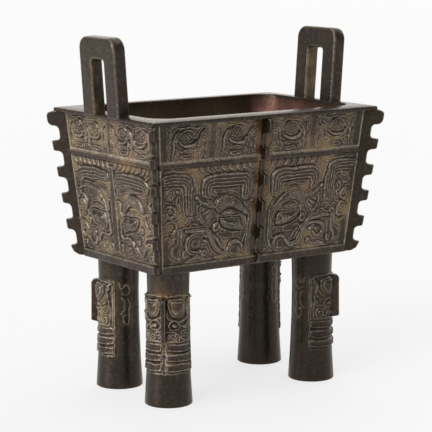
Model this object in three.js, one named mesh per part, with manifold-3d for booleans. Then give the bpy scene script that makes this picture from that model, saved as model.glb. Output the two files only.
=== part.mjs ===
// A square bronze cauldron (fangding), cast in one piece.
// A tapering rectangular basin with a flat lip stands on four round legs and carries two upright
// loop handles. Toothed flanges run down its corners and the middle of its long walls, and raised
// animal masks cover the walls and the outer side of each leg.
// Millimetres, +Z up. The feet stand on z = 0, the long walls face -Y and +Y, and the origin is
// the middle of the footprint.

import * as THREE from 'three';
import { mergeVertices } from 'three/addons/utils/BufferGeometryUtils.js';
import Module from 'manifold-3d';

const wasm = await Module();
wasm.setup();

// ---------------------------------------------------------------- driving dimensions

const RIM_TOP = 200; // height of the lip's flat top
const LIP = { halfX: 96, halfY: 63.9, thick: 3.5, round: 0.6 };
const OPENING = { halfX: 84, halfY: 51.9, corner: 16, round: 0.8, straight: 5 };

const WALL_TOP = { z: 196.5, halfX: 90.5, halfY: 58 };
const WALL_FOOT = { z: 93.5, halfX: 81.5, halfY: 47.5 };
const UNDERSIDE_ROUND = 1.5;
const WALL_THICK = 5;
const FLOOR_THICK = 5.5;
const FLOOR_ROUND = 5; // the turn from the walls to the floor inside
const BASIN_CORNER = 13;

const LEG = { x: 62.7, y: 31.5, sink: 3, sides: 20 };
const LEG_PROFILE = [[0, 16.7], [20, 15.4], [45, 14.5], [70, 14.2], [93.5, 14.8]];

const HANDLE = { halfWidth: 22.2, thick: 10, height: 52, slotHalf: 8, bar: 15, lean: 4 };
const HANDLE_ROUND = { outer: 7, inner: 3, edge: 0.8 };
const HANDLE_FACE_X = 96.6; // outer face where it rises from the lip
const HANDLE_FOOT = 197; // the handles run down into the lip to here

// How far the teeth and the notches between them stand out, at the heights in TEETH_SPAN.
const CORNER_FLANGE = { thick: 4, topTooth: 12.8, root: -4, tooth: [8.6, 11.3], notch: [3.4, 5] };
const MID_FLANGE = { thick: 3.2, topTooth: 8.6, root: -2, tooth: [5.7, 5.7], notch: [0.9, 0.9] };
const TEETH_SPAN = { low: 99, high: 172 };
const FLANGE_FOOT = [[0.72, 3.7], [0.35, 1.1]]; // share of the lowest tooth's reach, height over the foot
const TOOTH = { count: 5, pitch: 18.6, height: 8.4, taper: 0.7, round: 1.1, firstTop: 176.3 };
const TOP_TOOTH = { low: 186.3, high: 196.8, round: 4.5 };
const NOTCH_ROUND = 2.2;
const FLANGE_LIFT = 0.1; // a flange ends this far over the basin's underside

// The registers, as distances up the sloping wall from its foot.
const BAND = { low: 0, high: 6.6, proud: 1.3 };
const MOULDING = { low: 73.4, high: 77.4, proud: 1.7 };
const EDGE_FILLET = { inset: 2.4, width: 1.6, proud: 0.9, topGap: 0.5 };
const SINK = 1; // how far raised work runs into the metal under it

// A small mask of the frieze: its jaw's path from its own middle, and its face [u, v, ru, rv, proud].
const FRIEZE_MASK = {
  jaw: [[-8, 92], [-4, 87.5], [4, 87.5], [8, 92]],
  jawWide: 2.6,
  jawProud: 1.2,
  face: [0, 94, 3.6, 3, 1.5],
};
const FRIEZE_CENTRES = { long: [22.5, 63.5], short: [17, 39] };
const NOSE_RIDGE = { low: 9, high: 71, foot: 5, crest: 2.5, taper: 0.6, shoulder: 0.4, proud: 1.4 };

// Angles on a leg are in degrees round from its outer side, heights from the ground.
const LEG_MASK = { from: 5, spread: 88, border: 6, low: 25, high: 78, bars: 3, barPitch: 6.9, barHeight: 5.7, proud: 1.1 };
const LEG_VOLUTE = [56, 51, 13, 4, 1.2];
const LEG_HORN = { outline: [[8, 63], [40, 62], [76, 74], [50, 77], [10, 76.5]], proud: 1.6 };
const NOSE_PLATE = { low: 46.5, high: 77, out: 5.8, thick: 3.2, round: 4, droop: 1.2 };

const BRONZE = { color: 0x4a423a, roughness: 0.45, metalness: 0.85 };

// ---------------------------------------------------------------- solids

const mix = THREE.MathUtils.lerp;
const radians = THREE.MathUtils.degToRad;

// A closed geometry becomes a solid that can be joined and cut.
function solid(geometry) {
  const bare = geometry.clone();
  bare.deleteAttribute('normal');
  bare.deleteAttribute('uv');
  const welded = mergeVertices(bare, 1e-4);
  return new wasm.Manifold(new wasm.Mesh({
    numProp: 3,
    vertProperties: Float32Array.from(welded.attributes.position.array),
    triVerts: Uint32Array.from(welded.index.array),
  }));
}

// Joins convex rings of points, each as long as the last, and closes both ends.
// Seen from the end that the rings run to, each ring goes round anticlockwise.
function loft(rings) {
  const size = rings[0].length;
  const corners = [];
  for (let r = 1; r < rings.length; r += 1) {
    for (let i = 0; i < size; i += 1) {
      const j = (i + 1) % size;
      const [a, b] = [rings[r - 1], rings[r]];
      corners.push(a[i], a[j], b[j], a[i], b[j], b[i]);
    }
  }
  const [first, last] = [rings[0], rings[rings.length - 1]];
  for (let i = 1; i < size - 1; i += 1) {
    corners.push(first[0], first[i + 1], first[i], last[0], last[i], last[i + 1]);
  }
  return solid(new THREE.BufferGeometry().setFromPoints(corners));
}

// A rectangle with rounded corners at one height; a radius of 0 gives four points.
function rectangleRing(halfX, halfY, z, radius = 0, steps = 0) {
  const ring = [];
  for (const [sx, sy, start] of [[1, 1, 0], [-1, 1, 90], [-1, -1, 180], [1, -1, 270]]) {
    for (let i = 0; i <= steps; i += 1) {
      const angle = radians(start + (steps ? (90 * i) / steps : 0));
      ring.push(new THREE.Vector3(
        sx * (halfX - radius) + radius * Math.cos(angle),
        sy * (halfY - radius) + radius * Math.sin(angle),
        z,
      ));
    }
  }
  return ring;
}

// A flat outline of [across, up] points, given a thickness and laid down by place(across, up, side).
function plate(outline, thick, place) {
  const shape = new THREE.Shape(outline.map(([across, up]) => new THREE.Vector2(across, up)));
  const geometry = new THREE.ExtrudeGeometry(shape, { depth: thick, bevelEnabled: false });
  const position = geometry.attributes.position;
  for (let i = 0; i < position.count; i += 1) {
    const at = place(position.getX(i), position.getY(i), position.getZ(i) - thick / 2);
    position.setXYZ(i, at.x, at.y, at.z);
  }
  return solid(geometry);
}

// A raised line: a strip along a smooth curve through points, from wide to narrow.
function strip(points, wide, narrow, proud, place) {
  const steps = Math.max(2, points.length - 1);
  const curve = new THREE.SplineCurve(points.map(([u, v]) => new THREE.Vector2(u, v)));
  const rings = [];
  for (let i = 0; i <= steps; i += 1) {
    const { x: u, y: v } = curve.getPoint(i / steps);
    const along = curve.getTangent(i / steps);
    const half = mix(wide, narrow, i / steps) / 2;
    const corner = (side, height) => place(u - along.y * half * side, v + along.x * half * side, height);
    rings.push([corner(-1, -SINK), corner(1, -SINK), corner(0.8, proud), corner(-0.8, proud)]);
  }
  return loft(rings);
}

// A raised round or oval boss.
function boss(u, v, radiusU, radiusV, proud, place, sides = 6) {
  const ring = (scale, height) => Array.from({ length: sides }, (_, i) => {
    const angle = (2 * Math.PI * i) / sides;
    return place(u + radiusU * scale * Math.cos(angle), v + radiusV * scale * Math.sin(angle), height);
  });
  return loft([ring(1, -SINK), ring(0.7, proud)]);
}

// ---------------------------------------------------------------- walls

// How far the wall's outside stands from the middle at height z.
function wallHalf(axis, z) {
  return mix(WALL_FOOT[axis], WALL_TOP[axis], (z - WALL_FOOT.z) / (WALL_TOP.z - WALL_FOOT.z));
}

// A place function for one wall: u across to the right seen from outside, v up the slope, w out.
function wallPlace(outX, outY) {
  const axis = outX ? 'halfX' : 'halfY';
  const out = new THREE.Vector3(outX, outY, 0);
  const foot = out.clone().multiplyScalar(WALL_FOOT[axis]).setZ(WALL_FOOT.z);
  const head = out.clone().multiplyScalar(WALL_TOP[axis]).setZ(WALL_TOP.z);
  const up = head.clone().sub(foot).normalize();
  const right = new THREE.Vector3(-outY, outX, 0);
  const normal = right.clone().cross(up);
  return (u, v, w) => foot.clone().addScaledVector(right, u).addScaledVector(up, v).addScaledVector(normal, w);
}

// A straight-sided raised area between two lines across the wall.
function panel(corners, proud, place) {
  const ring = (height) => corners.map(([u, v]) => place(u, v, height));
  return loft([ring(-SINK), ring(proud)]);
}

const SLOPE = Math.hypot(WALL_TOP.z - WALL_FOOT.z, WALL_TOP.halfY - WALL_FOOT.halfY);

// The plain frame of one wall: bottom band, moulding and the fillets beside the corners.
function wallFrame(axis, place) {
  const half = (v) => mix(WALL_FOOT[axis], WALL_TOP[axis], v / SLOPE) - EDGE_FILLET.inset;
  const across = ({ low, high, proud }) => {
    const corners = [[-half(low), low], [half(low), low], [half(high), high], [-half(high), high]];
    return panel(corners, proud, place);
  };
  const parts = [across(BAND), across(MOULDING)];
  const top = SLOPE - EDGE_FILLET.topGap;
  for (const side of [-1, 1]) {
    const inner = (v) => side * (half(v) - EDGE_FILLET.width);
    const outer = (v) => side * half(v);
    const ring = side > 0
      ? [[inner(0), 0], [outer(0), 0], [outer(top), top], [inner(top), top]]
      : [[outer(0), 0], [inner(0), 0], [inner(top), top], [outer(top), top]];
    parts.push(panel(ring, EDGE_FILLET.proud, place));
  }
  return parts;
}

// Half of a big mask: strips as [points, wide, narrow, proud], then bosses as [u, v, ru, rv, proud].
const LONG_MASK = {
  strips: [
    [[[44, 53], [46, 60], [40, 62.5], [18, 62.5], [13, 59], [13, 50]], 8, 7, 1.3], // horn
    [[[37, 44], [32, 48.5], [24, 47.5], [17, 43], [11.5, 36]], 6, 3, 1.6], // brow
    [[[62, 28.5], [50, 28.5], [42, 25], [36, 14], [29, 11], [24, 17], [17, 18.5], [13, 14]], 4, 3, 1.5], // cheek
    [[[58, 25], [59, 17], [53, 13.5], [46, 15]], 4.5, 3, 1.3], // jaw scroll
    [[[64, 30], [65.5, 21], [70, 15], [68, 10]], 5, 4, 1.4], // claw
    [[[77, 61], [70, 66], [62, 63], [58.5, 54], [58, 43]], 9, 7, 1.2], // side plume
    [[[53, 47], [50, 38], [44, 33]], 6, 4, 1], // leaf behind the eye
  ],
  bosses: [[24.5, 32, 10, 5.4, 2.2], [37.5, 30, 3, 3.4, 1.8], [72.5, 33, 3.4, 3.2, 1.3], [74, 43, 3.4, 3.2, 1.2]],
};

const SHORT_MASK = {
  strips: [
    [[[42, 55], [42, 62], [12, 63]], 7, 6, 1.3], // horn
    [[[35, 43], [29, 50], [20, 48], [13, 39]], 5.5, 3, 1.6], // brow
    [[[2.5, 46], [6.5, 42], [6, 24]], 3, 2.5, 1.4], // muzzle edge
    [[[45, 23], [36, 24], [27, 20], [12, 19]], 3.5, 3, 1.4], // cheek
    [[[44, 50], [45, 42], [40, 34]], 7, 5, 1.1], // side plume
  ],
  bosses: [[19, 32.5, 9, 5.2, 2.2], [33.5, 29, 2.6, 2.8, 1.6], [16, 13, 3.4, 3, 1.3], [42, 14, 4, 3.4, 1.2]],
};

// One small mask of the frieze, centred at u.
function friezeMask(u, mirror, place) {
  const { jaw, jawWide, jawProud, face: [du, v, radiusU, radiusV, proud] } = FRIEZE_MASK;
  const path = jaw.map(([across, up]) => [u + mirror * across, up]);
  return [
    strip(path, jawWide, jawWide, jawProud, place),
    boss(u + mirror * du, v, radiusU, radiusV, proud, place),
  ];
}

// Both halves of a wall's big mask and its frieze.
function wallMasks(mask, friezeCentres, place) {
  const parts = [];
  for (const side of [-1, 1]) {
    for (const [points, wide, narrow, proud] of mask.strips) {
      const path = points.map(([u, v]) => [side * u, v]);
      parts.push(strip(path, wide, narrow, proud, place));
    }
    for (const [u, v, radiusU, radiusV, proud] of mask.bosses) {
      parts.push(boss(side * u, v, radiusU, radiusV, proud, place));
    }
    for (const u of friezeCentres) parts.push(...friezeMask(side * u, side, place));
  }
  return parts;
}

// The plain ridge that divides a short wall's mask, in place of a flange.
function noseRidge(place) {
  const { low, high, foot, crest, taper, shoulder, proud } = NOSE_RIDGE;
  const ring = (half, height) => [[-half, low], [half, low], [half * taper, high], [-half * taper, high]]
    .map(([u, v]) => place(u, v, height));
  return loft([ring(foot, -SINK), ring(foot, shoulder), ring(crest, proud)]);
}

// ---------------------------------------------------------------- flanges

// The edge of a toothed flange as [out, up] points, from its top tooth down to its foot, where
// the lowest tooth ends in a point and curves in to the basin's underside.
function flangeOutline({ topTooth, root, tooth, notch }) {
  const rise = (z) => (z - TEETH_SPAN.low) / (TEETH_SPAN.high - TEETH_SPAN.low);
  const outer = (z) => mix(...tooth, rise(z));
  const floor = (z) => mix(...notch, rise(z));
  const points = [[root, TOP_TOOTH.high], [topTooth - 1, TOP_TOOTH.high], [topTooth, TOP_TOOTH.high - 1]];
  for (let i = 0; i <= 2; i += 1) {
    const angle = radians(45 * i);
    points.push([
      topTooth - TOP_TOOTH.round * (1 - Math.cos(angle)),
      TOP_TOOTH.low + TOP_TOOTH.round * (1 - Math.sin(angle)),
    ]);
  }
  let notchTop = TOP_TOOTH.low;
  for (let k = 0; k < TOOTH.count; k += 1) {
    const top = TOOTH.firstTop - k * TOOTH.pitch;
    const low = top - TOOTH.height;
    const deep = floor((notchTop + top) / 2);
    points.push([deep, notchTop - NOTCH_ROUND], [deep, top + NOTCH_ROUND * 0.5]);
    points.push([outer(top) - TOOTH.round, top - TOOTH.taper], [outer(top), top - TOOTH.taper - TOOTH.round]);
    if (k < TOOTH.count - 1) {
      points.push([outer(low), low + TOOTH.taper + TOOTH.round], [outer(low) - TOOTH.round, low + TOOTH.taper]);
      points.push([floor(low) + NOTCH_ROUND * 0.5, low]);
    }
    notchTop = low;
  }
  for (const [share, height] of FLANGE_FOOT) points.push([tooth[0] * share, WALL_FOOT.z + height]);
  const end = WALL_FOOT.z + FLANGE_LIFT;
  points.push([root * 0.3, end], [root, end]);
  return points.reverse();
}

// A flange that stands out along a level direction from a line that leans with the wall.
function flange(outX, outY, base, outline, thick) {
  const out = new THREE.Vector3(outX, outY, 0).normalize();
  const side = new THREE.Vector3(out.y, -out.x, 0);
  return plate(outline, thick, (across, up, offset) => base(up)
    .addScaledVector(out, across).addScaledVector(side, offset));
}

function cornerFlanges() {
  const outline = flangeOutline(CORNER_FLANGE);
  const parts = [];
  for (const x of [-1, 1]) {
    for (const y of [-1, 1]) {
      const base = (z) => new THREE.Vector3(x * wallHalf('halfX', z), y * wallHalf('halfY', z), z);
      parts.push(flange(x, y, base, outline, CORNER_FLANGE.thick));
    }
  }
  return parts;
}

function midFlanges() {
  const outline = flangeOutline(MID_FLANGE);
  return [-1, 1].map((y) => {
    const base = (z) => new THREE.Vector3(0, y * wallHalf('halfY', z), z);
    return flange(0, y, base, outline, MID_FLANGE.thick);
  });
}

// ---------------------------------------------------------------- legs

function legRadius(z) {
  const after = LEG_PROFILE.findIndex(([height]) => height >= z);
  const [high, wide] = LEG_PROFILE[after < 0 ? LEG_PROFILE.length - 1 : after];
  const [low, narrow] = LEG_PROFILE[Math.max(0, (after < 0 ? LEG_PROFILE.length - 1 : after) - 1)];
  return high === low ? wide : mix(narrow, wide, THREE.MathUtils.clamp((z - low) / (high - low), 0, 1));
}

// A place function for one leg: u in degrees round from its outer side, v up, w out from its skin.
function legPlace(x, y) {
  const facing = Math.atan2(y, x);
  return (u, v, w) => {
    const [angle, radius] = [facing + radians(u), legRadius(v) + w];
    return new THREE.Vector3(x * LEG.x + radius * Math.cos(angle), y * LEG.y + radius * Math.sin(angle), v);
  };
}

function legShaft(x, y) {
  const top = [WALL_FOOT.z + LEG.sink, LEG_PROFILE[LEG_PROFILE.length - 1][1]];
  const rings = [...LEG_PROFILE, top].map(([z, radius]) => Array.from({ length: LEG.sides }, (_, i) => {
    const angle = (2 * Math.PI * i) / LEG.sides;
    return new THREE.Vector3(x * LEG.x + radius * Math.cos(angle), y * LEG.y + radius * Math.sin(angle), z);
  }));
  return loft(rings);
}

// A band round part of a leg between two angles and two heights.
function legBand(from, to, low, high, proud, place, steps) {
  const rings = [];
  for (let i = 0; i <= steps; i += 1) {
    const u = mix(from, to, i / steps);
    rings.push([place(u, low, -SINK), place(u, high, -SINK), place(u, high, proud), place(u, low, proud)]);
  }
  return loft(rings);
}

// The mask on a leg's outer side: three bars, a border, horns, eyes and volutes, and the nose plate.
function legMask(x, y) {
  const place = legPlace(x, y);
  const { from, spread, border, low, high, bars, barPitch, barHeight, proud } = LEG_MASK;
  const [voluteAngle, voluteHeight, ...voluteSize] = LEG_VOLUTE;
  const parts = [];
  for (const side of [-1, 1]) {
    const between = (a, b) => (side > 0 ? [a, b] : [-b, -a]);
    for (let k = 0; k < bars; k += 1) {
      const foot = low + k * barPitch;
      parts.push(legBand(...between(from, spread), foot, foot + barHeight, proud, place, 3));
    }
    parts.push(legBand(...between(spread - border, spread), low + bars * barPitch, high, proud, place, 1));
    parts.push(boss(side * voluteAngle, voluteHeight, ...voluteSize, place));
    const outline = LEG_HORN.outline.map(([u, v]) => [side * u, v]);
    const ring = (height) => (side > 0 ? outline : [...outline].reverse()).map(([u, v]) => place(u, v, height));
    parts.push(loft([ring(-SINK), ring(LEG_HORN.proud)]));
  }
  return parts;
}

function nosePlate(x, y) {
  const { low, high, out, thick, round, droop } = NOSE_PLATE;
  const root = -SINK * 2;
  const outline = [[root, low - droop], [0, low - droop], [out, low], [out, high - round]];
  for (let i = 1; i <= 2; i += 1) {
    const angle = radians(45 * i);
    outline.push([out - round * (1 - Math.cos(angle)), high - round * (1 - Math.sin(angle))]);
  }
  outline.push([root, high]);
  const facing = new THREE.Vector3(x, y, 0).normalize();
  const base = (z) => new THREE.Vector3(x * LEG.x, y * LEG.y, z).addScaledVector(facing, legRadius(z));
  return flange(x, y, base, outline, thick);
}

// ---------------------------------------------------------------- basin, lip and handles

function basinBody() {
  const foot = WALL_FOOT.z;
  const inset = UNDERSIDE_ROUND;
  return loft([
    rectangleRing(WALL_FOOT.halfX - inset, WALL_FOOT.halfY - inset, foot),
    rectangleRing(wallHalf('halfX', foot + inset), wallHalf('halfY', foot + inset), foot + inset),
    rectangleRing(WALL_TOP.halfX, WALL_TOP.halfY, WALL_TOP.z + SINK / 2),
  ]);
}

function lip() {
  const { halfX, halfY, thick, round } = LIP;
  return loft([
    rectangleRing(WALL_TOP.halfX - SINK, WALL_TOP.halfY - SINK, RIM_TOP - thick - SINK),
    rectangleRing(halfX - round, halfY - round, RIM_TOP - thick),
    rectangleRing(halfX, halfY, RIM_TOP - thick + round),
    rectangleRing(halfX, halfY, RIM_TOP - round),
    rectangleRing(halfX - round, halfY - round, RIM_TOP),
  ]);
}

// The hollow: straight-sided at the mouth, then down inside the walls to a rounded floor.
function hollow() {
  const { halfX, halfY, corner, round, straight } = OPENING;
  const floor = WALL_FOOT.z + FLOOR_THICK;
  const [innerX, innerY] = ['halfX', 'halfY'].map((axis) => wallHalf(axis, floor) - WALL_THICK);
  const steps = 6;
  const turn = [0, 45, 90].map((degrees) => {
    const inset = FLOOR_ROUND * (1 - Math.sin(radians(degrees)));
    const height = floor + FLOOR_ROUND * (1 - Math.cos(radians(degrees)));
    return rectangleRing(innerX - inset, innerY - inset, height, BASIN_CORNER - inset, steps);
  });
  return loft([
    ...turn,
    rectangleRing(halfX, halfY, RIM_TOP - straight, corner, steps),
    rectangleRing(halfX, halfY, RIM_TOP - round, corner, steps),
    rectangleRing(halfX + round, halfY + round, RIM_TOP, corner, steps),
    rectangleRing(halfX + round, halfY + round, RIM_TOP + SINK, corner, steps),
  ]);
}

// An upright loop with a slot down to the lip, leaning outwards; x is -1 or 1.
function handle(x) {
  const { halfWidth, thick, height, slotHalf, bar, lean } = HANDLE;
  const { outer, inner, edge } = HANDLE_ROUND;
  const foot = HANDLE_FOOT - RIM_TOP;
  const shape = new THREE.Shape();
  shape.moveTo(-halfWidth, foot);
  shape.lineTo(-slotHalf, foot);
  shape.lineTo(-slotHalf, height - bar - inner);
  shape.absarc(-slotHalf + inner, height - bar - inner, inner, Math.PI, Math.PI / 2, true);
  shape.absarc(slotHalf - inner, height - bar - inner, inner, Math.PI / 2, 0, true);
  shape.lineTo(slotHalf, foot);
  shape.lineTo(halfWidth, foot);
  shape.absarc(halfWidth - outer, height - outer, outer, 0, Math.PI / 2, false);
  shape.absarc(-halfWidth + outer, height - outer, outer, Math.PI / 2, Math.PI, false);
  shape.closePath();
  const geometry = new THREE.ExtrudeGeometry(shape, {
    depth: thick - 2 * edge,
    bevelThickness: edge,
    bevelSize: edge,
    bevelOffset: -edge,
    bevelSegments: 1,
    curveSegments: 3,
  });
  geometry.translate(0, 0, edge - thick);
  // The outline's across runs along +Y and its depth along +X.
  const upright = new THREE.Matrix4().makeBasis(
    new THREE.Vector3(0, 1, 0), new THREE.Vector3(0, 0, 1), new THREE.Vector3(1, 0, 0));
  geometry.applyMatrix4(upright);
  geometry.rotateY(radians(lean));
  geometry.translate(HANDLE_FACE_X, 0, RIM_TOP);
  if (x < 0) geometry.rotateZ(Math.PI);
  return solid(geometry);
}

// ---------------------------------------------------------------- the casting

function casting() {
  const parts = [lip(), ...cornerFlanges(), ...midFlanges()];
  for (const y of [-1, 1]) {
    const place = wallPlace(0, y);
    parts.push(...wallFrame('halfX', place), ...wallMasks(LONG_MASK, FRIEZE_CENTRES.long, place));
  }
  for (const x of [-1, 1]) {
    const place = wallPlace(x, 0);
    parts.push(...wallFrame('halfY', place), ...wallMasks(SHORT_MASK, FRIEZE_CENTRES.short, place), noseRidge(place));
    for (const y of [-1, 1]) parts.push(legShaft(x, y), ...legMask(x, y), nosePlate(x, y));
  }
  const outside = parts.reduce((whole, part) => whole.add(part), basinBody());
  return [-1, 1].reduce((whole, x) => whole.add(handle(x)), outside.subtract(hollow()));
}

function meshOf(manifold) {
  const { vertProperties, triVerts } = manifold.getMesh();
  const geometry = new THREE.BufferGeometry();
  geometry.setAttribute('position', new THREE.BufferAttribute(vertProperties, 3));
  geometry.setIndex(new THREE.BufferAttribute(triVerts, 1));
  geometry.computeVertexNormals();
  return geometry;
}

const ding = new THREE.Mesh(meshOf(casting()), new THREE.MeshStandardMaterial(BRONZE));
ding.name = 'ding';

const model = new THREE.Group();
model.add(ding);

export default model;
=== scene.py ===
# %% [markdown]
# # A square bronze ding
# A rectangular basin on four round legs, with two upright loop handles, toothed flanges and
# masks in relief on the walls and the legs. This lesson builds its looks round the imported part.

# %% Load the frame
"""Looks for the square bronze ding.

Every relief is a height over a grid. With s the distance in from a shape's edge, a raised shape
stands h smooth(s / e) high, where smooth(t) = t t (3 - 2 t) for t from 0 to 1 and e is how wide
its shoulder is. Shapes join by taking the higher one, and lines are then cut or raised along
smooth paths as d exp(-(r / w)^2), with r the distance from the path.
"""

from math import cos, hypot, pi, radians, sin

import bpy
import numpy as np
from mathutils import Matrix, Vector


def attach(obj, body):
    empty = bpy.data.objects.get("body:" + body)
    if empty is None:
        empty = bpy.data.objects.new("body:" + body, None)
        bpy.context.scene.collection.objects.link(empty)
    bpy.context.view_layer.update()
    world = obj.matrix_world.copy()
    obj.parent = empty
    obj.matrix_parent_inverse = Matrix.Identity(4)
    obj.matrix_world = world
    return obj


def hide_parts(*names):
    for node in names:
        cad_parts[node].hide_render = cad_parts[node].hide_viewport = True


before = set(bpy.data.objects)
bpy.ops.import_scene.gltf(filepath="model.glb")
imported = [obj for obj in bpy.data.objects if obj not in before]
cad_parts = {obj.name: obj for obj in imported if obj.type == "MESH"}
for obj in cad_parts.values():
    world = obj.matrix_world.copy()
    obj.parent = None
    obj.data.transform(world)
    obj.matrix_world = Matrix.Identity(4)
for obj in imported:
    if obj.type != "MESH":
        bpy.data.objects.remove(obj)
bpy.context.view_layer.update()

# %% [markdown]
# ## The ding's own sizes
# All in millimetres, with Z up, the feet on z = 0 and the long walls facing -Y and +Y.

# %% Sizes
MM = 0.001
RIM_TOP = 200.0
LIP_X, LIP_Y, LIP_THICK = 96.0, 63.9, 3.5
MOUTH_X, MOUTH_Y, MOUTH_CORNER = 84.0, 51.9, 16.0
TOP_Z, TOP_X, TOP_Y = 196.5, 90.5, 58.0
FOOT_Z, FOOT_X, FOOT_Y = 93.5, 81.5, 47.5
WALL_THICK, FLOOR_THICK, BASIN_CORNER = 5.0, 5.5, 13.0
BAND_TOP, BAND_PROUD = 6.6, 1.3
MOULD_LOW, MOULD_TOP, MOULD_PROUD = 73.4, 77.4, 1.7
LEG_X, LEG_Y = 62.7, 31.5
LEG_Z = (0.0, 20.0, 45.0, 70.0, 93.5)
LEG_R = (16.7, 15.4, 14.5, 14.2, 14.8)
HANDLE_HALF, HANDLE_THICK, HANDLE_HIGH, HANDLE_EDGE = 22.2, 10.0, 52.0, 1.8
SLOT_HALF, HANDLE_BAR, HANDLE_LEAN, HANDLE_FACE = 8.0, 15.0, 4.0, 96.6
SKIN = 1.2  # the relief slabs stand this far out from the plain core
rng = np.random.default_rng(20)
print("basin", 2 * LIP_X, "x", 2 * LIP_Y, "mm,", RIM_TOP + HANDLE_HIGH, "mm to the handles' tops")

# %% [markdown]
# ## Small tools
# Meshes come from whole arrays of points. A path is a smooth curve through a few points, and a
# field of soft noise is random numbers blurred along both directions of a grid.

# %% Tools
def smooth(t):
    """t t (3 - 2 t), with t kept between 0 and 1."""
    t = np.clip(t, 0, 1)
    return t * t * (3 - 2 * t)


def bell(r, width):
    """exp(-(r / width)^2), which is 1 on a line and almost nothing two widths away."""
    return np.exp(-((r / width) ** 2))


def curve(points, steps=7):
    """A Catmull-Rom path through the rows of points, any number of columns."""
    p = np.asarray(points, float)
    p = np.vstack([2 * p[0] - p[1], p, 2 * p[-1] - p[-2]])
    a, b, c, d = (p[i : len(p) - 3 + i, None] for i in range(4))
    t = np.linspace(0, 1, steps, endpoint=False)[None, :, None]
    path = b + (c - a) * t / 2 + (2 * a - 5 * b + 4 * c - d) * t**2 / 2 + (3 * b - a - 3 * c + d) * t**3 / 2
    return np.vstack([path.reshape(-1, p.shape[1]), p[-2]])


def blur(field, size):
    """Blurs a grid along rows and columns; size is the spread in cells."""
    def weights(n):
        w = bell(np.arange(n)[:, None] - np.arange(n)[None, :], size * 1.41)
        return w / w.sum(1, keepdims=True)
    return weights(field.shape[0]) @ field @ weights(field.shape[1]).T


def soft_noise(shape, size):
    """Random numbers blurred over size cells, then scaled to a spread of 1."""
    field = blur(rng.standard_normal(shape), size)
    return field / field.std()


def build(name, points, faces, **values):
    """A closed mesh object from points in millimetres, a list of face arrays, and values per point."""
    points = np.asarray(points, float)
    tris = np.vstack([np.vstack([f[:, [0, i, i + 1]] for i in range(1, f.shape[1] - 1)]) for f in faces])
    a, b, c = points[tris[:, 0]], points[tris[:, 1]], points[tris[:, 2]]
    volume = (a * np.cross(b, c)).sum() / 6
    turned = [f[:, ::-1] if volume < 0 else f for f in faces]
    mesh = bpy.data.meshes.new(name)
    mesh.from_pydata((points * MM).tolist(), [], [row for f in turned for row in f.tolist()])
    for key, value in values.items():
        value = np.broadcast_to(np.asarray(value, np.float32), (len(points),))
        mesh.attributes.new(key, "FLOAT", "POINT").data.foreach_set("value", np.ascontiguousarray(value))
    mesh.shade_smooth()
    mesh.update()
    thing = bpy.data.objects.new(name, mesh)
    bpy.context.scene.collection.objects.link(thing)
    made[name] = thing
    print(f"{name}: {len(tris)} triangles, {abs(volume) / 1000:.1f} cm3")


def tube_faces(rings, size):
    """Quads that join rings of the same size, each ring going round."""
    r, i = np.meshgrid(np.arange(rings - 1), np.arange(size), indexing="ij")
    a, j = r * size, (i + 1) % size
    return np.stack([a + i, a + j, a + size + j, a + size + i], -1).reshape(-1, 4)


made = {}

# %% [markdown]
# ## A relief
# A relief keeps, for each point of a grid, how high the raised shapes stand (top), how far the
# point lies inside the nearest of them (near, below zero outside) and the fine lines (fine).

# %% Relief
FAR = -6.0  # how far inside a shape a point is said to be, where no shape is near
BAND_EDGE, PAD_EDGE, DISC_EDGE = 0.6, 0.8, 0.7
RIDGE_HIGH, GROOVE_IN, GROOVE_DEEP = 0.36, 1.0, 0.4


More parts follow.
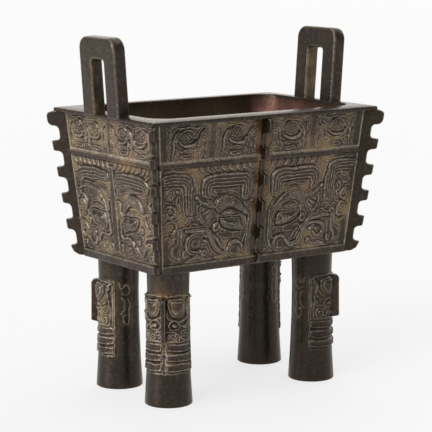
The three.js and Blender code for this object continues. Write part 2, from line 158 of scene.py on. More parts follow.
class Relief:
    def __init__(self, x, y):
        self.x, self.y = x.ravel(), y.ravel()
        self.top = np.zeros(x.size)
        self.near = np.full(x.size, FAR)
        self.fine = np.zeros(x.size)

    def close_to(self, path, reach):
        """The points within reach of the box round a path."""
        low, high = path[:, :2].min(0) - reach, path[:, :2].max(0) + reach
        here = (self.x > low[0]) & (self.x < high[0]) & (self.y > low[1]) & (self.y < high[1])
        return np.flatnonzero(here)

    def distance(self, where, path):
        """How far each point is from a path, and the path's third column there."""
        a, along = path[:-1], np.diff(path, axis=0)
        dx, dy = self.x[where, None] - a[:, 0], self.y[where, None] - a[:, 1]
        t = np.clip((dx * along[:, 0] + dy * along[:, 1]) / (along[:, :2] ** 2).sum(1), 0, 1)
        gap = np.hypot(dx - t * along[:, 0], dy - t * along[:, 1])
        k, row = gap.argmin(1), np.arange(len(where))
        return gap[row, k], a[k, 2] + t[row, k] * along[k, 2]

    def lift(self, where, inside, high, edge):
        """Raises points to high smooth(inside / edge), unless they stand higher already."""
        self.top[where] = np.maximum(self.top[where], high * smooth(inside / edge))
        self.near[where] = np.maximum(self.near[where], inside)

    def band(self, points, width, high, pitch=0):
        """A raised band along a path, with ridges a pitch apart or one groove inside its edges."""
        half = np.broadcast_to(np.asarray(width, float) / 2, (len(points),))
        path = curve(np.column_stack([points, half]))
        where = self.close_to(path, 7)
        gap, half = self.distance(where, path)
        inside = half - gap
        self.lift(where, inside, high, BAND_EDGE)
        if pitch:
            thread = (0.5 - 0.5 * np.cos(2 * pi * gap / pitch)) ** 5
            self.fine[where] += RIDGE_HIGH * thread * smooth((inside - 0.2) / 0.5)
        else:
            self.fine[where] -= GROOVE_DEEP * bell(inside - GROOVE_IN, 0.28) * smooth((half - 1.3) / 0.3)

    def pad(self, outline, high, dome=0):
        """A raised area inside a closed smooth outline; dome swells its middle."""
        ring = curve(np.vstack([outline, outline[:1]]))
        path = np.column_stack([ring, np.zeros(len(ring))])
        where = self.close_to(path, 6)
        gap, _ = self.distance(where, path)
        x, y, (a, b) = self.x[where, None], self.y[where, None], (ring[:-1], ring[1:])
        crosses = (a[:, 1] > y) != (b[:, 1] > y)
        slope = (b[:, 0] - a[:, 0]) / np.where(b[:, 1] == a[:, 1], 1e-9, b[:, 1] - a[:, 1])
        within = (crosses & (x < a[:, 0] + (y - a[:, 1]) * slope)).sum(1) % 2 == 1
        inside = np.where(within, gap, -gap)
        self.lift(where, inside, high + dome * smooth(inside / 5), PAD_EDGE)
        return where, inside

    def disc(self, x, y, rx, ry, high, hollow=0):
        """A round boss; hollow sinks its middle, so that it becomes a ring."""
        around = np.array([[x - rx, y - ry, 0], [x + rx, y + ry, 0]])
        where = self.close_to(around, 5)
        r = np.hypot((self.x[where] - x) / rx, (self.y[where] - y) / ry)
        inside = (1 - r) * min(rx, ry)
        self.lift(where, inside, high * np.sqrt(np.clip(1.2 - r**2, 0.2, 1)), DISC_EDGE)
        self.fine[where] -= hollow * bell(r, 0.42)

    def line(self, points, width, high):
        """A thin line, cut where high is below zero and raised where it is above."""
        path = curve(np.column_stack([points, np.zeros(len(points))]))
        where = self.close_to(path, 3 * width)
        gap, _ = self.distance(where, path)
        self.fine[where] += high * bell(gap, width)

    def spiral(self, x, y, radius, turns, start, high, width=0.5):
        """A thin line that winds in from the radius to 0.15 of it, from the angle start."""
        t = np.linspace(0, 1, int(10 * turns) + 2)
        angle = radians(start) + 2 * pi * turns * t
        r = radius * (1 - 0.85 * t)
        self.line(np.column_stack([x + r * np.cos(angle), y + r * np.sin(angle)]), width, high)

    def hatch(self, outline, angle, pitch, deep):
        """Parallel cuts inside an outline, deep (0.5 + 0.5 cos(2 pi across / pitch))."""
        keep = self.top.copy(), self.near.copy()
        where, inside = self.pad(outline, 0)
        self.top, self.near = keep
        across = self.x[where] * cos(radians(angle)) + self.y[where] * sin(radians(angle))
        self.fine[where] -= deep * (0.5 + 0.5 * np.cos(2 * pi * across / pitch)) * smooth(inside / 0.8)


# %% [markdown]
# ## The masks
# Half of each mask, as distances across from the middle of its wall and up from its foot. A long
# wall's half mask has a great squared horn, a hatched brow over a half-round eye, a cheek that
# ends in a curl, a claw and a side plume. Bands are (points, widths, height, ridge pitch), pads
# (outline, height, dome), discs (x, y, rx, ry, height, hollow), cuts and threads (points),
# spirals (x, y, radius, turns, start), and hatches (outline, angle, pitch).

# %% Mask shapes
LONG = {
    "bands": [
        ([(44.6, 51.6), (46.4, 54.6), (46.6, 59), (45.2, 61.6), (41.6, 62.5), (28, 62.6), (16.6, 62.5),
            (13.8, 61.6), (12.9, 59), (12.9, 50.8)], (3, 7, 9, 9.8, 9.8, 9.8, 9.6, 9.6, 9.2, 7.6),
            1.1, 2.45),
        ([(61, 29.6), (52, 29.2), (44.5, 28.4), (41, 25), (38, 18.6), (34, 13.2), (28.6, 11), (25.4, 14),
            (22.4, 17.5), (18.2, 18.4), (14.8, 16.6),
            (13.4, 13.4)], (3, 3.6, 4, 4, 3.8, 3.6, 3.4, 3.2, 3, 2.8, 2.4, 1.6), 1.55, 0),
        ([(66, 29.5), (66.3, 24), (66.2, 20.4), (69.4, 17.2), (69.6, 14),
            (67, 10.8)], (5, 5, 5.6, 7, 6.6, 2.6), 1.25, 0),
        ([(80.6, 65.4), (72, 65.8), (65, 65), (61, 61.8), (59.8, 56),
            (59.4, 43)], (8, 8.6, 9, 9, 8.4, 6.6), 1.0, 2.2),
        ([(45, 8.8), (51, 10.4), (58, 9)], (2, 3.4, 2), 0.8, 0),
        ([(38.4, 24.6), (34.6, 20.4), (32, 15.6)], (2.4, 2.2, 1.4), 0.9, 0),
        ([(35, 25), (31.6, 21.4), (29.4, 17)], (2, 2, 1.2), 0.8, 0),
        ([(12.8, 45), (9.6, 38), (8.9, 30), (9.2, 21), (10.4, 12)], (2.6, 3.2, 3.4, 3.2, 2), 0.85, 1.7),
        ([(78.6, 35.4), (74.6, 37.2), (70.6, 35.8), (69.4, 32), (71.6, 28.8),
            (74.6, 29.6)], (1, 2, 2.6, 2.6, 2.2, 1), 1.2, 0),
        ([(79.4, 46.6), (76.4, 47.8), (72.4, 46.4), (71.4, 42.6), (74.2, 40.4),
            (76.4, 42)], (1, 2, 2.6, 2.6, 2, 1), 1.2, 0),
        ([(78.6, 24.6), (76, 26.4), (72.6, 25.4)], (1, 1.8, 1), 1, 0),
    ],
    "pads": [
        ([(19.5, 57), (39, 57), (38.6, 53.4), (33, 53.6), (25, 54), (19, 51.6)], 0.55, 0.1),
        ([(38.4, 44.4), (36.8, 48.6), (33, 51.4), (27.6, 52), (22, 50.2), (17, 46.8), (12.4, 41.6),
            (10, 37.2), (13, 36.8), (17, 39.8), (22, 42.6), (28, 43.6), (33, 42.6), (36, 40.4)], 1.8, 0.6),
        ([(19, 39), (22.6, 41.4), (28, 41.8), (33, 39.6), (32, 38), (25, 37.6)], 0.9, 0.5),
        ([(34.4, 36.2), (33.4, 31.8), (29, 28.6), (22, 26.8), (15.4, 26.4), (14.2, 30.6), (17, 35.4),
            (24, 36.4)], 1.5, 1.7),
        ([(21, 25), (34, 26.4), (33.6, 22.6), (28, 20.6), (21.6, 20.8)], 0.55, 0.1),
        ([(53, 48), (53, 41), (50.6, 35.4), (46.6, 31.6), (44.2, 34.6), (41.8, 39), (41.2, 42.6),
            (46.4, 44.6)], 0.75, 0.1),
        ([(49.6, 50.4), (44, 44.8), (39.6, 43.6), (39, 46.6), (42, 49.6)], 0.7, 0.2),
        ([(17.4, 15.4), (21.6, 15.8), (24, 12), (22.4, 9), (17, 9)], 0.5, 0.2),
        ([(67, 54), (70.4, 54), (71.4, 49), (69.6, 45.6), (67.6, 47)], 0.8, 0.3),
    ],
    "discs": [
        (37.2, 30, 3, 3.8, 1.6, 0.7), (62, 13, 2.2, 3.6, 1.3, 0.5), (45.2, 12.4, 3, 2.7, 1.3, 0.4),
        (45.8, 21.2, 1.9, 1.6, 1.5, 0), (53.2, 52, 1.8, 1.9, 1.3, 0), (69.4, 57.2, 1.5, 1.5, 1.2, 0.5),
    ],
    "threads": [
        [(79.4, 57.6), (75, 60), (70, 60.4), (66.4, 58.6), (65, 55), (64.6, 47), (63.6, 42)],
        [(38.6, 44), (37.6, 48.2), (34, 51.2), (28.6, 52.2), (22, 50.6)],
        [(78.4, 50.6), (75, 49), (76.8, 45.6)], [(69.8, 43.4), (67.4, 46.6), (69.6, 49.6)],
        [(76, 39.8), (71.6, 37.8), (67.6, 40), (66.2, 43.4)],
        [(69.6, 36.2), (66, 38), (62.4, 35.8), (60, 38.8), (56.4, 38.2)],
        [(67.6, 32.6), (64, 34), (60, 31.6), (56, 34), (51.6, 33)],
        [(36, 38.6), (33.4, 37.4), (26, 37), (18, 36.8)],
        [(36.2, 37.6), (35.4, 31), (30.4, 27.2), (22, 25), (14, 24.6)],
        [(13.2, 36), (10.8, 30), (11.2, 22), (13.2, 17)],
        [(57.4, 69), (56.2, 63), (53.6, 56), (51.8, 50.6), (46, 47)],
        [(74.6, 46.6), (77.4, 43), (75.4, 39.4), (71.6, 38), (70.4, 35.6)],
        [(76.6, 29), (73, 25.2), (68.6, 25.4)], [(40, 27), (44.4, 31), (52, 31.6), (62, 31.8), (68, 31)],
        [(50, 47.4), (50.6, 40), (47.4, 34.6)], [(79.6, 74), (70, 71.2), (60.6, 70.6)],
        [(31, 9.2), (42, 7.8), (60, 7.6)],
    ],
    "cuts": [
        *2 * [[(62, 70.6), (58.8, 67.4), (57.8, 62), (55.2, 56.4), (51, 51.8), (45.6, 48.8)]],
        *2 * [[(81.4, 72.6), (83.4, 68), (81.6, 61), (80.8, 52)]], [(66.2, 28.5), (66.4, 22)],
        [(61.8, 54), (61.6, 46)], [(69.6, 49.6), (68.4, 52.4)], [(43.4, 40.6), (46.4, 38.4)],
        [(44.8, 43), (49, 41.2)],
    ],
    "spirals": [(21, 31.4, 2.3, 1.2, 30), (10.6, 47.6, 1.8, 1, 90)],
    "curls": [
        (57.6, 41.4, 2, 1.2, 60), (76.4, 20.4, 2, 1.2, 90), (51.4, 37.6, 2.2, 1.3, 30),
        (74.6, 53.6, 2.4, 1.3, 0), (33.4, 22.4, 1.8, 1.1, 0), (27.4, 14.6, 1.8, 1.2, 90),
    ],
    "hatches": [([(24, 50.6), (33, 51), (38, 45), (35.6, 41.6), (29, 43.6), (24.6, 43.4)], 62, 1.35)],
}
# The jaw is cast in two ways: a scroll on one side and a curl on the other.
SCROLL = {
    "bands": [
        ([(44, 24.4), (48.6, 26), (55, 25.8), (59, 23.6), (59.6, 18.4), (57.6, 14.8), (52.6, 13.6),
            (48.6, 14.4)], (2.2, 3.4, 3.8, 4, 4, 3.8, 3.4, 2.4), 1.25, 1.9),
    ],
    "pads": [([(49, 22.6), (55, 22.6), (56, 18.6), (53, 16.6), (49, 17.4)], 0.7, 0.2)],
}
CURL = {
    "bands": [
        ([(31, 10.6), (36.4, 15), (40.4, 21.6), (46, 25), (53, 25), (57.4, 21.6), (56.4, 16.8),
            (51.4, 15.6), (48.6, 18.6)], (1.4, 2, 2.4, 2.6, 2.8, 3, 2.8, 2.4, 1.8), 1.2, 0),
    ],
    "discs": [(52, 20.4, 2.2, 2, 0.9, 0)],
    "threads": [[(48, 10), (44, 13.4), (41.6, 18)], [(61, 12), (61.6, 20), (60.4, 27)]],
}
SHORT = {
    "bands": [
        ([(41, 57.6), (40.6, 61), (34, 62.6), (22, 63), (7, 62.4)], (6, 8.4, 9.2, 9.2, 7), 1.25, 2.4),
        ([(46, 67), (42.4, 64.4), (45, 61), (49.4, 60)], (1.8, 2.6, 2.4, 1.4), 1.1, 0),
        ([(3, 45.6), (6.4, 46.6), (8.4, 43.4), (7.6, 39.4), (10.4, 36.6)], (1.4, 2, 2.2, 2.2, 1.8), 1, 0),
        ([(9, 34), (7.2, 28), (7, 23), (10, 20.8), (16, 21.6), (20.6, 19.4),
            (23, 15)], (1.4, 2, 2.2, 2.2, 2.2, 2.2, 1.6), 1.1, 0),
        ([(35.4, 21.4), (39, 25), (44, 26.6), (50.4, 27)], (1.6, 2.4, 2.6, 1.8), 1.3, 0),
        ([(24, 17.6), (27.6, 12.8), (32, 12.2), (37.4, 17.4)], (1.4, 2.8, 2.8, 1.2), 1.2, 0),
        ([(38.6, 20.6), (42.4, 21.8), (44.4, 18.8), (41.6, 16.4)], (1.6, 2.2, 2.2, 1.4), 1.1, 0),
        ([(46.4, 51), (43.6, 47.6), (46.8, 44), (49.6, 42)], (1.6, 3, 2.6, 1.4), 1.1, 0),
        ([(39.6, 42), (37.6, 38), (39.4, 33), (43.6, 30.4)], (1.8, 3, 3, 1.6), 1.1, 0),
    ],
    "pads": [
        ([(8, 56.6), (38, 56.6), (37, 53.6), (30, 54.4), (16, 53), (9, 51)], 0.5, 0.1),
        ([(15, 47.6), (20, 51.6), (26, 53), (32, 51.2), (36.6, 46.4), (37.4, 42), (33, 41.4), (27, 44.6),
            (20, 44), (13, 38.6), (11, 39.6)], 1.7, 0.5),
        ([(12.4, 36.8), (22, 37.6), (30, 37), (29.4, 32.4), (26, 28.8), (19, 27), (12, 25), (9.8, 29),
            (10.4, 33.4)], 1.45, 1.6),
        ([(12.6, 38.6), (19, 41.6), (26, 41.6), (30, 39.2), (20, 38.8)], 0.8, 0.4),
        ([(31, 26.4), (34, 24), (31.6, 21.6), (25, 23.6), (24, 25.8)], 0.55, 0.1),
    ],
    "discs": [
        (33.2, 29, 2.5, 2.7, 1.4, 0.7), (27.8, 20.4, 2.3, 2.3, 1.2, 0.7), (16, 13.2, 3.4, 3.2, 1, 0),
        (42.4, 12, 3, 2.6, 1, 0.4), (6.6, 13.6, 2.2, 3.4, 0.9, 0.4),
    ],
    "threads": [
        [(31.6, 38.4), (24, 38.6), (12, 37.8)], [(31.8, 35.6), (29.6, 29.4), (22, 25.8), (12, 23)],
        [(41, 42), (41.4, 36)], [(43.4, 42), (43.8, 35)], [(45.8, 41), (46.2, 34)],
        [(3, 57), (5, 52), (3, 48)], [(34, 33), (36, 37), (35, 41)],
    ],
    "cuts": [[(31, 34.4), (28, 28.6), (20, 26), (12.4, 24)], [(48, 72), (47.4, 66)], [(16, 12), (18, 14)]],
    "spirals": [
        (16, 13.2, 3, 1.6, 0), (46.6, 38.4, 1.5, 1, 90), (19.6, 31.8, 2.4, 1.2, 60),
        (41.6, 49.4, 1.6, 1, 0),
    ],
    "hatches": [([(18, 50), (26, 52.4), (33, 49.6), (33, 43), (27, 45), (20, 44.6)], 35, 1.35)],
}
# The brow of a short wall's other half, in place of its heavy one.
ARC = {
    "bands": [
        ([(44, 49.6), (36.6, 52.6), (28, 53), (20, 50.6), (13.6, 45), (9.4, 38), (7.6, 30),
            (7, 24)], (2, 3, 3.4, 3.4, 3, 2.6, 2.2, 1.6), 1.3, 0),
        ([(44.6, 47.6), (38.6, 45.6), (35, 41), (36, 36.4)], (1.2, 2, 2.2, 1.6), 1.1, 0),
    ],
    "threads": [[(30, 43.6), (22, 45.4), (15, 42)]],
}


# %% [markdown]
# ## Carving a wall
# A fringe of leaning claws hangs from the moulding, and the frieze over it has one small mask
# with a smiling jaw for each half mask below. The ground is filled with squared spirals.

# %% Carving
MASK_HIGH, LINE_HIGH = 1.2, 1.3  # the raised shapes and fine lines are scaled by these
SPIRAL_CELL, SPIRAL_PITCH, SPIRAL_HIGH = 6.2, 2.1, 0.2
ECHO_PITCH, ECHO_HIGH = 1.9, 0.14
CLAW_PITCH, FILLET_IN, FOOT_ROUND = 5.9, 3.2, 1.1


def merged(*parts):
    keys = {key for part in parts for key in part}
    return {key: [shape for part in parts for shape in part.get(key, [])] for key in keys}


def carve_mask(r, mask, side):
    """Carves half a mask on one side, -1 or 1, of its wall's middle."""
    def turned(points):
        return [(side * x, y) for x, y in points]

    def swung(angle):
        return angle if side > 0 else 180 - angle
    for points, width, high, pitch in mask.get("bands", []):
        r.band(turned(points), width, high, pitch)
    for outline, high, dome in mask.get("pads", []):
        where, inside = r.pad(turned(outline), high, dome)
        r.fine[where] -= 0.3 * bell(inside - 1.25, 0.34) * (high > 0.6)
    for x, y, rx, ry, high, hollow in mask.get("discs", []):
        r.disc(side * x, y, rx, ry, high, hollow)
    for key, width, high in (("threads", 0.55, 0.62), ("cuts", 0.6, -0.8)):
        for points in mask.get(key, []):
            r.line(turned(points), width, high)
    for key, high in (("spirals", -0.45), ("curls", 0.6)):
        for x, y, radius, turns, start in mask.get(key, []):
            r.spiral(side * x, y, radius, turns, swung(start), high)
    for outline, angle, pitch in mask.get("hatches", []):
        r.hatch(turned(outline), swung(angle), pitch, 0.6)


def carve_frieze_mask(r, middle, side):
    """A small face over a smiling jaw, between two hanging tails."""
    def at(points):
        return [(middle + side * x, y) for x, y in points]
    jaw = at([(-7.2, 92), (-4.4, 89.2), (0.6, 88), (5.6, 89.2), (7.8, 91.8)])
    r.band(jaw, (1.2, 2.2, 2.6, 2.2, 1.2), 1.9)
    face = at([(-3.2, 93), (1, 90.9), (5.2, 93), (5.2, 96.6), (1, 98.2), (-3.2, 96.6)])
    r.pad(face, 0.8)
    r.hatch(face, 40, 1.9, 0.55)
    r.hatch(face, 140, 1.9, 0.55)
    r.line(at([(-3.6, 91.8), (-0.4, 90.4), (3.4, 90.6), (5.8, 92)]), 0.5, 0.8)
    for points in (
        [(-4.8, 95.6), (-2, 98.8), (3, 99.4), (6.6, 97)],
        [(12.6, 80), (11.4, 86), (11.8, 92), (9.6, 96.8), (6.8, 98.8)],
        [(-8.4, 86.6), (-9, 91.4), (-10.6, 96.4), (-13.4, 99)],
        [(15.2, 98.4), (13.8, 93.8)], [(15.8, 91.6), (14, 87.4)], [(15.4, 84.6), (14, 80.6)],
        [(-15, 90), (-14.6, 86), (-15.4, 82)],
    ):
        r.band(at(points), (1, *[1.5] * (len(points) - 2), 1), 1.15)
    r.pad(at([(-3.6, 82.6), (4.8, 82.6), (4.8, 79.6), (-3.6, 79.6)]), 0.7)
    r.line(at([(-2.2, 81.2), (3.4, 81.2)]), 0.5, -0.6)
    r.line(at([(-9, 86.2), (-5, 84.6), (0, 85.8), (5, 84.6), (9.6, 86.2)]), 0.5, 0.65)
    r.line(at([(-11, 100.8), (-7, 100), (-2, 101.2), (3, 100.6), (8, 101)]), 0.5, 0.5)
    for x, y, size in ((-13.2, 93.6, 2.5), (-12, 86, 1.9), (-7, 82, 1.9), (8.6, 82.4, 2), (9.2, 92.4, 1.6)):
        r.spiral(middle + side * x, y, size, 1.3, 90, 0.6)


def carve_ground(r):
    """Lines that follow the raised shapes' edges, and squared spirals further from them.

    A spiral is cos(2 pi q / pitch + angle), with q the greater of the distances across and up
    from its cell's middle, and every other one turns the other way.
    """
    column, row = np.round(r.x / SPIRAL_CELL), np.round(r.y / SPIRAL_CELL)
    dx, dy = r.x - column * SPIRAL_CELL, r.y - row * SPIRAL_CELL
    turn = np.where((column + row) % 2 > 0, 1, -1)
    squared = np.maximum(np.abs(dx), np.abs(dy))
    spirals = np.cos(2 * pi * squared / SPIRAL_PITCH + turn * np.arctan2(dy, dx))
    echo = np.cos(2 * pi * (r.near + 1.25) / ECHO_PITCH)
    far = smooth((-r.near - 2.4) / 0.6)
    r.fine += smooth((-r.near - 0.5) / 0.5) * (ECHO_HIGH * echo * (1 - far) + SPIRAL_HIGH * spirals * far)


def carve_wall(u, v, half, masks, centres, flanged, plainer):
    """Heights over one wall, how far inside the raised shapes each point is, and where it is plain."""
    r = Relief(u + 0.3 * soft_noise(u.shape, 6), v + 0.25 * soft_noise(u.shape, 6))
    for side, mask in zip((-1, 1), masks):
        if plainer:
            mask = {key: shapes for key, shapes in mask.items() if key not in ("spirals", "cuts")}
        carve_mask(r, mask, side)
        for middle in centres:
            carve_frieze_mask(r, side * middle, side)
        for x in np.arange(8, 52, CLAW_PITCH) if flanged else np.arange(4, 46, CLAW_PITCH):
            claw = [(side * (x + 2.2), 74), (side * (x + 1.2), 71), (side * (x - 1), 68.6)]
            r.band(claw, (3.4, 3, 0.9), 0.95)
    carve_ground(r)
    top, near, fine = (a.reshape(u.shape) for a in (r.top, r.near, r.fine))
    off, gap = np.abs(u), half - np.abs(u)  # from the wall's middle, and from its edge
    if flanged:
        edge, middle, strip = smooth((9.5 - gap) / 1.2), smooth(6.2 - off), 43
    else:
        edge, middle, strip = smooth((4.6 - gap) / 0.8), smooth((3.4 - off) / 0.8) * smooth((72 - v) / 2), 0
    edge = edge * np.maximum(smooth((30 - v) / 8), v > MOULD_TOP - 0.4)
    between = 0.65 * smooth((2.7 - np.abs(off - strip)) / 1.2) * smooth(v - MOULD_TOP - 0.6)
    calm = np.maximum.reduce([edge, middle, between])
    height = (MASK_HIGH * top + LINE_HIGH * fine) * (1 - calm)
    bare = smooth(6 - v) + smooth((v - MOULD_LOW) / 0.3) * smooth((MOULD_TOP + 0.6 - v) / 0.5)
    height *= 1 - np.clip(bare, 0, 1)
    if not flanged:
        ridge = 5 - 2 * np.clip((v - 9) / 62, 0, 1)
        height += 1.3 * smooth((ridge - off) / 1.6) * smooth((v - 8) / 2) * smooth((71.5 - v) / 2)
    band = BAND_PROUD * smooth((BAND_TOP - v) / 0.7)
    moulding = MOULD_PROUD * smooth((v - MOULD_LOW) / 0.7) * smooth((MOULD_TOP - v) / 0.7)
    crossing = np.maximum(band, moulding) * smooth((gap - 2) / 0.8)
    fillet = 0.9 * smooth((1 - np.abs(gap - FILLET_IN)) / 0.7)
    height = np.maximum.reduce([height, crossing, fillet])
    turned = np.clip(FOOT_ROUND - v, 0, None)
    height -= FOOT_ROUND - np.sqrt(FOOT_ROUND**2 - turned**2)
    height += 0.05 * soft_noise(u.shape, 9) + 0.018 * soft_noise(u.shape, 1.2)
    return height, near, calm


# %% [markdown]
# ## Wear, dirt and painted light from the shape
# Where the surface lies below its own blurred copy dirt gathers, and the deepest lines get painted
# shade. Where it stands above, the metal is rubbed bright, with a painted highlight on the crowns.
# These are kept with each point, for the patina to use.

# %% Wear values
def wear(height, cells):
    """Values from the height less its blurred copies, over 3, 1 and 1/2 times so many cells."""
    wide, close, edge = blur(height, cells * 3), blur(height, cells), blur(height, cells / 2)
    hollow = np.clip((wide - height) / 0.9, 0, 1) * 0.6 + np.clip((close - height) / 0.25, 0, 1) * 0.5
    # painted shade: near black in the deepest lines
    deep = smooth((close - height - 0.15) / 0.25)
    # worn bright crowns, with a painted highlight on them
    rubbed = np.clip((height - edge) / 0.1, 0, 1) ** 1.5
    return {"hollow": hollow, "deep": deep, "rubbed": rubbed}


# %% [markdown]
# ## The four walls
# Each is a slab whose outer face is the relief. Its border turns in 3 mm, into the core. The
# back and right walls are a little plainer and on a coarser grid.

# %% Walls
SLAB_DEEP = 3.0
FRIEZE = {"x": (22.5, 63.5), "y": (17, 39)}  # the small masks' middles, on long and short walls


def slab(name, axis, out, grid, values, lower, upper):
    """Closes a (rows x columns) grid of (u, v, w) into a slab and stands it on its wall.

    u runs along the wall, v up its slope and w out of it. lower and upper are how far out its
    ends are and their heights.
    """
    u, v, w = grid
    rows, columns = u.shape
    run = np.arange(rows * columns).reshape(rows, columns)
    border = np.concatenate([run[0, :-1], run[:-1, -1], run[-1, :0:-1], run[:0:-1, 0]])
    u, v, w = (np.concatenate([a.ravel(), a.ravel()[border]]) for a in (u, v, w))
    w[run.size :] = -SLAB_DEEP
    back = np.arange(run.size, run.size + len(border))
    u, v, w = np.append(u, 0), np.append(v, 50), np.append(w, -SLAB_DEEP)
    quads = np.stack([run[:-1, :-1], run[:-1, 1:], run[1:, 1:], run[1:, :-1]], -1).reshape(-1, 4)
    skirt = np.stack([border, back, np.roll(back, -1), np.roll(border, -1)], -1)
    fan = np.stack([back, np.full(len(back), len(u) - 1), np.roll(back, -1)], -1)
    rise, lean = upper[1] - lower[1], upper[0] - lower[0]
    slope = hypot(rise, lean)
    outward = lower[0] + lean / slope * v + rise / slope * w
    z = lower[1] + rise / slope * v - lean / slope * w
    points = (out * u, out * outward, z) if axis == "x" else (out * outward, out * u, z)
    values = {k: np.concatenate([a.ravel(), a.ravel()[border], [0]]) for k, a in values.items()}
    build(name, np.stack(points, -1), [quads, skirt, fan], **values)


def wall(name, axis, out, masks):
    """The wall along an axis that faces out (-1 or 1), with its mask's halves at u < 0 and u > 0."""
    flanged, plainer = axis == "x", out > 0
    if flanged:
        foot, top, lower, upper = FOOT_X, TOP_X, (FOOT_Y, FOOT_Z), (TOP_Y, TOP_Z)
    else:
        foot, top, lower, upper = FOOT_Y, TOP_Y, (FOOT_X, FOOT_Z), (TOP_X, TOP_Z)
    cell = 0.5 if plainer else 0.455
    slope = hypot(upper[1] - lower[1], upper[0] - lower[0])
    columns, rows = int(2 * top / cell), int(slope / cell)
    v = np.linspace(0, slope, rows)[:, None] * np.ones(columns)
    half = foot + (top - foot) * v / slope
    u = np.linspace(-1, 1, columns) * half
    height, near, calm = carve_wall(u, v, half, masks, FRIEZE[axis], flanged, plainer)
    values = wear(height, 0.9 / cell)
    gap = half - np.abs(u)
    ledges = bell(v - MOULD_TOP - 0.8, 1) + bell(v - BAND_TOP - 1.2, 1.5) * smooth((gap - 8) / 3)
    ledges += 0.9 * bell(gap - FILLET_IN, 1.1) * smooth(v / 9)
    values["deep"] *= 1 - np.clip(1.3 * ledges, 0, 1)
    if flanged:
        # painted shadow: a dark line beside each corner, below the moulding
        values["deep"] += bell(gap - 5.6, 0.8) * smooth((v - 50) / 6) * smooth((73 - v) / 2)
    # painted highlight: kept off the moulding's face and the foot band, and a bright line along the
    # moulding's top edge
    moulding = smooth((v - MOULD_LOW + 0.9) / 0.6) * smooth((MOULD_TOP - 0.4 - v) / 0.5)
    values["rubbed"] *= 1 - 0.85 * (moulding + smooth((4 - v) / 2))
    values["rubbed"] += 1.5 * bell(v - MOULD_TOP - 0.3, 0.55) * smooth(gap - 2)
    ground = smooth((0.2 - near) / 0.8) * (1 - calm) * smooth((v - BAND_TOP + 0.2) / 0.6)
    ground *= 1 - smooth((v - MOULD_LOW + 0.4) / 0.4) * smooth((MOULD_TOP + 0.4 - v) / 0.4)
    values["ground"] = np.clip(ground + ledges, 0, 1)
    if flanged:
        beside = bell(np.abs(u) - 4, 1.4) * smooth((v - 40) / 25 + 0.6)
    else:
        beside = 0.7 * bell(np.hypot(u - 20, (v - 75) * 3), 16)
    fringe = bell(v - 71, 2.4) * smooth((60 - np.abs(u)) / 20)
    spots = smooth(soft_noise(u.shape, 5) * 0.5 + 0.3)
    values["rust"] = np.clip(beside * (0.8 + 0.3 * spots) + 0.5 * fringe * spots, 0, 1)
    slab(name, axis, out, (u, v, height), values, lower, upper)


long_scroll, long_curl = merged(LONG, SCROLL), merged(LONG, CURL)
short_arc = merged({**SHORT, "pads": SHORT["pads"][:1] + SHORT["pads"][2:]}, ARC)
wall("wall_front", "x", -1, (long_curl, long_scroll))
wall("wall_back", "x", 1, (long_curl, long_scroll))
wall("wall_left", "y", -1, (short_arc, SHORT))
wall("wall_right", "y", 1, (SHORT, short_arc))


# %% [markdown]
# ## Basin, lip and underside
# One closed profile is carried round rounded rectangles: up the inside, over the lip, down the
# outside and back under the floor.

# %% Basin
def rectangle_ring(half_x, half_y, z, radius):
    """A ring round a rounded rectangle: four arcs (r cos t, r sin t), joined by straight sides."""
    t = np.linspace(0, pi / 2, 11)
    arcs = []
    for k, (sx, sy) in enumerate(((1, 1), (-1, 1), (-1, -1), (1, -1))):
        x = sx * (half_x - radius) + radius * np.cos(t + k * pi / 2)
        y = sy * (half_y - radius) + radius * np.sin(t + k * pi / 2)
        arcs.append(np.stack([x, y], -1))
    s = np.linspace(0, 1, 15)[1:-1, None]
    sides = [arc[-1] + (after[0] - arc[-1]) * s for arc, after in zip(arcs, arcs[1:] + arcs[:1])]
    ring = np.vstack([part for pair in zip(arcs, sides) for part in pair])
    return np.column_stack([ring, np.full(len(ring), z)])


rings, insides = [], []


def add_ring(half, inset, z, corner, inside=0):
    """One ring of the profile, inset from a pair of half sizes; inside is how much it is lining."""
    rings.append(rectangle_ring(half[0] - inset, half[1] - inset, z, corner))
    insides.append(inside)


MOUTH, LIP, TOP, FOOT = (MOUTH_X, MOUTH_Y), (LIP_X, LIP_Y), (TOP_X, TOP_Y), (FOOT_X, FOOT_Y)
FLOOR_ROUND, MOUTH_ROUND, LIP_ROUND, LIP_UNDER = 5, 1.1, 0.8, 0.6
floor_z, rise_z = FOOT_Z + FLOOR_THICK, FOOT_Z + FLOOR_THICK + FLOOR_ROUND
share = FLOOR_THICK / (TOP_Z - FOOT_Z)
inner = [a + (b - a) * share - WALL_THICK for a, b in zip(FOOT, TOP)]
for inset in (30, 12):
    add_ring(inner, inset, floor_z, 4, 1)
for t in np.linspace(0, pi / 2, 6):
    inset = FLOOR_ROUND * (1 - sin(t))
    add_ring(inner, inset, floor_z + FLOOR_ROUND * (1 - cos(t)), BASIN_CORNER - inset, 1)
for s in np.linspace(0.1, 1, 14):
    half = [a + (b - a) * s for a, b in zip(inner, MOUTH)]
    corner = BASIN_CORNER + (MOUTH_CORNER - BASIN_CORNER) * s
    add_ring(half, 0, rise_z + (RIM_TOP - 6 - rise_z) * s, corner, 1 - 0.3 * (s > 0.95))
add_ring(MOUTH, 0, RIM_TOP - 3, MOUTH_CORNER, 0.5)
for t in np.linspace(0, pi / 2, 5):
    add_ring(MOUTH, -MOUTH_ROUND * (1 - cos(t)), RIM_TOP - MOUTH_ROUND * (1 - sin(t)), MOUTH_CORNER)
for s in (0.15, 0.35, 0.5, 0.65, 0.8, 0.92):
    half = [a + MOUTH_ROUND + (b - a - 2) * s for a, b in zip(MOUTH, LIP)]
    add_ring(half, 0, RIM_TOP - 2.2 * max(0, s - 0.42) ** 2, MOUTH_CORNER * (1 - s) + 1.4)
for t in np.linspace(0, pi / 2, 4):
    add_ring(LIP, LIP_ROUND * (1 - sin(t)), RIM_TOP - LIP_ROUND * (2 - cos(t)), 1.3)
